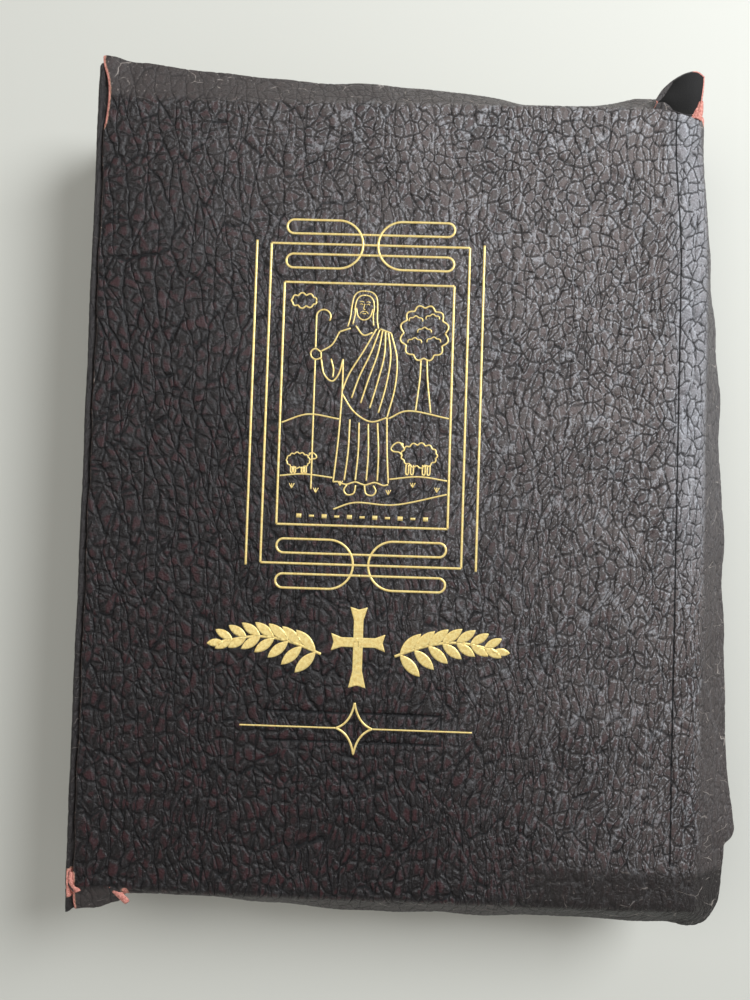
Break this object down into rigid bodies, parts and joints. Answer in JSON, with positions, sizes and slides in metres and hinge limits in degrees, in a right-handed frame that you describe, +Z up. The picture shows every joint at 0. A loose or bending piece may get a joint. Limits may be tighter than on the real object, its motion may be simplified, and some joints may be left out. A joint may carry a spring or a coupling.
{
  "type": "bible",
  "caption": "Closed leather-bound Bible with soft overlapping yapp edges, gold line tooling, hinged covers and a text block that opens in the middle.",
  "frame": {"origin": "centre of the back cover's outer face, on which the closed book lies", "axes": "+Z up through the book to the front cover, +Y to the head of the pages, +X to the fore-edge; the spine is at -X"},
  "size_m": [0.231, 0.3026, 0.0451],
  "materials": {
    "cover_leather": "black goat leather with an oxblood undertone, pebble grain",
    "board": "flexible book board",
    "turn_in_leather": "pink split side of the leather",
    "lining": "matte black lining",
    "gold_foil": "gold foil pressed into leather",
    "spine_leather": "black goat leather, pebble grain",
    "spine_lining": "mull cloth glued over with paper",
    "tapes": "linen tape",
    "headband": "striped cloth over a cord",
    "endpaper": "cream endpaper",
    "text_paper": "thin cream paper with gilt edges"
  },
  "bodies": {
    "back_cover": {"back_cover_leather": "cover_leather", "back_cover_board": "board", "back_cover_turn_ins": "turn_in_leather", "back_cover_lining": "lining"},
    "back_block": {"section_11": "text_paper", "section_12": "text_paper", "section_13": "text_paper", "section_14": "text_paper", "section_15": "text_paper", "section_16": "text_paper", "section_17": "text_paper", "section_18": "text_paper", "section_19": "text_paper", "section_20": "text_paper", "back_spine_leather": "spine_leather", "back_spine_lining": "spine_lining", "back_sewing_tapes": "tapes", "head_band_back": "headband", "tail_band_back": "headband"},
    "front_block": {"section_01": "text_paper", "section_02": "text_paper", "section_03": "text_paper", "section_04": "text_paper", "section_05": "text_paper", "section_06": "text_paper", "section_07": "text_paper", "section_08": "text_paper", "section_09": "text_paper", "section_10": "text_paper", "front_spine_leather": "spine_leather", "front_spine_lining": "spine_lining", "front_sewing_tapes": "tapes", "head_band_front": "headband", "tail_band_front": "headband"},
    "front_cover": {"front_cover_leather": "cover_leather", "front_cover_board": "board", "front_cover_turn_ins": "turn_in_leather", "front_cover_lining": "lining", "foil_frame": "gold_foil", "foil_picture": "gold_foil", "foil_ornament": "gold_foil", "foil_star_rule": "gold_foil"},
    "front_flyleaf": {"front_flyleaf": "endpaper"},
    "back_flyleaf": {"back_flyleaf": "endpaper"},
    "centre_leaf_front": {"centre_leaf_front": "text_paper"},
    "centre_leaf_back": {"centre_leaf_back": "text_paper"}
  },
  "joints": [
    {"name": "back_cover_hinge", "type": "hinge", "parent": "back_cover", "child": "back_block", "pos_m": [-0.108, 0, 0.00135], "axis": [0, 1, 0], "range_deg": [-45, 0]},
    {"name": "text_opening", "type": "hinge", "parent": "back_block", "child": "front_block", "pos_m": [-0.1115, 0, 0.0225], "axis": [0, -1, 0], "range_deg": [0, 179.5]},
    {"name": "front_cover_hinge", "type": "hinge", "parent": "front_block", "child": "front_cover", "pos_m": [-0.108, 0, 0.04365], "axis": [0, 1, 0], "range_deg": [-135, 0]},
    {"name": "front_flyleaf_turn", "type": "hinge", "parent": "front_block", "child": "front_flyleaf", "pos_m": [-0.108, 0, 0.04365], "axis": [0, 1, 0], "range_deg": [-129.6, 0]},
    {"name": "back_flyleaf_turn", "type": "hinge", "parent": "back_block", "child": "back_flyleaf", "pos_m": [-0.108, 0, 0.00135], "axis": [0, 1, 0], "range_deg": [0, 43.2]},
    {"name": "centre_leaf_front_turn", "type": "hinge", "parent": "back_block", "child": "centre_leaf_front", "pos_m": [-0.1115, 0, 0.0225], "axis": [0, -1, 0], "range_deg": [0, 172.8]},
    {"name": "centre_leaf_back_turn", "type": "hinge", "parent": "back_block", "child": "centre_leaf_back", "pos_m": [-0.1115, 0, 0.0225], "axis": [0, -1, 0], "range_deg": [0, 7.2]}
  ],
  "couplings": [
    {"joint": "front_flyleaf_turn", "follows": "front_cover_hinge", "ratio": 0.96},
    {"joint": "back_flyleaf_turn", "follows": "back_cover_hinge", "ratio": -0.96},
    {"joint": "centre_leaf_front_turn", "follows": "text_opening", "ratio": 0.96},
    {"joint": "centre_leaf_back_turn", "follows": "text_opening", "ratio": 0.04}
  ]
}
